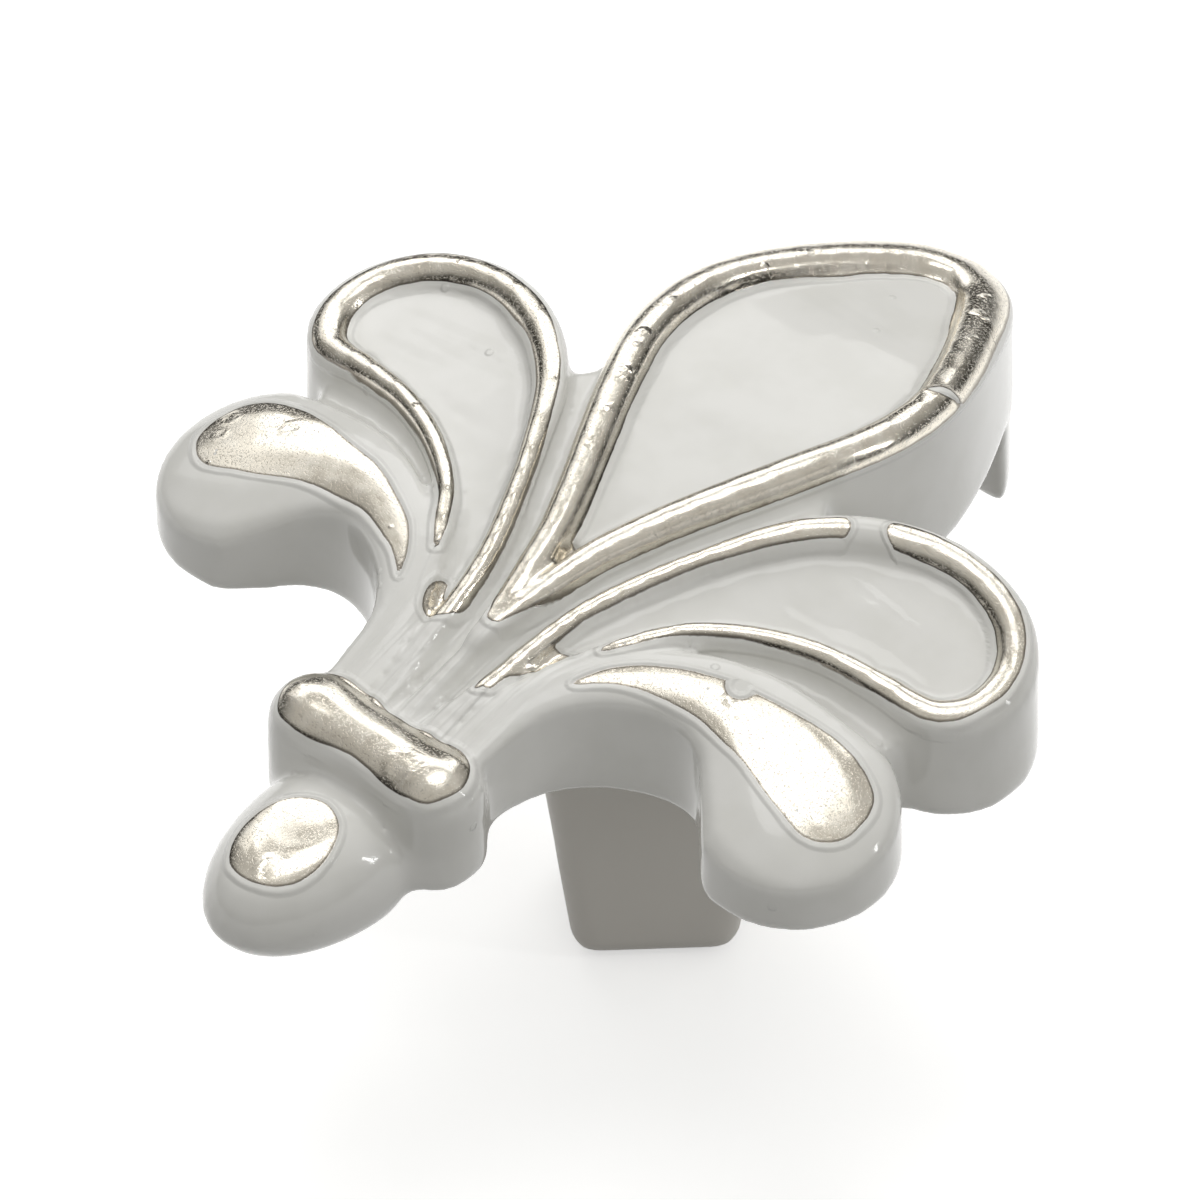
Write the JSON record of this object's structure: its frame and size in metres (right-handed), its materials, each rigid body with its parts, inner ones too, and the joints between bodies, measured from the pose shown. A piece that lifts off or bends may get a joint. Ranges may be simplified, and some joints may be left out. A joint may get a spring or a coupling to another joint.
{
  "type": "fleur-de-lis cabinet knob",
  "caption": "Decorative fleur-de-lis cabinet knob: a glossy white casting with silver rims on a tapered square post.",
  "frame": {"origin": "centre of the post's foot, where it seats on the drawer front", "axes": "+Z out from the drawer front along the post, +Y to the tip of the top petal, +X to the right petals"},
  "size_m": [0.0448, 0.0547, 0.03],
  "materials": {
    "glazed_white": "glossy off-white glaze, with silver laid by hand on the raised rims, band and bud"
  },
  "bodies": {
    "root": {"knob_body": "glazed_white"}
  },
  "joints": []
}
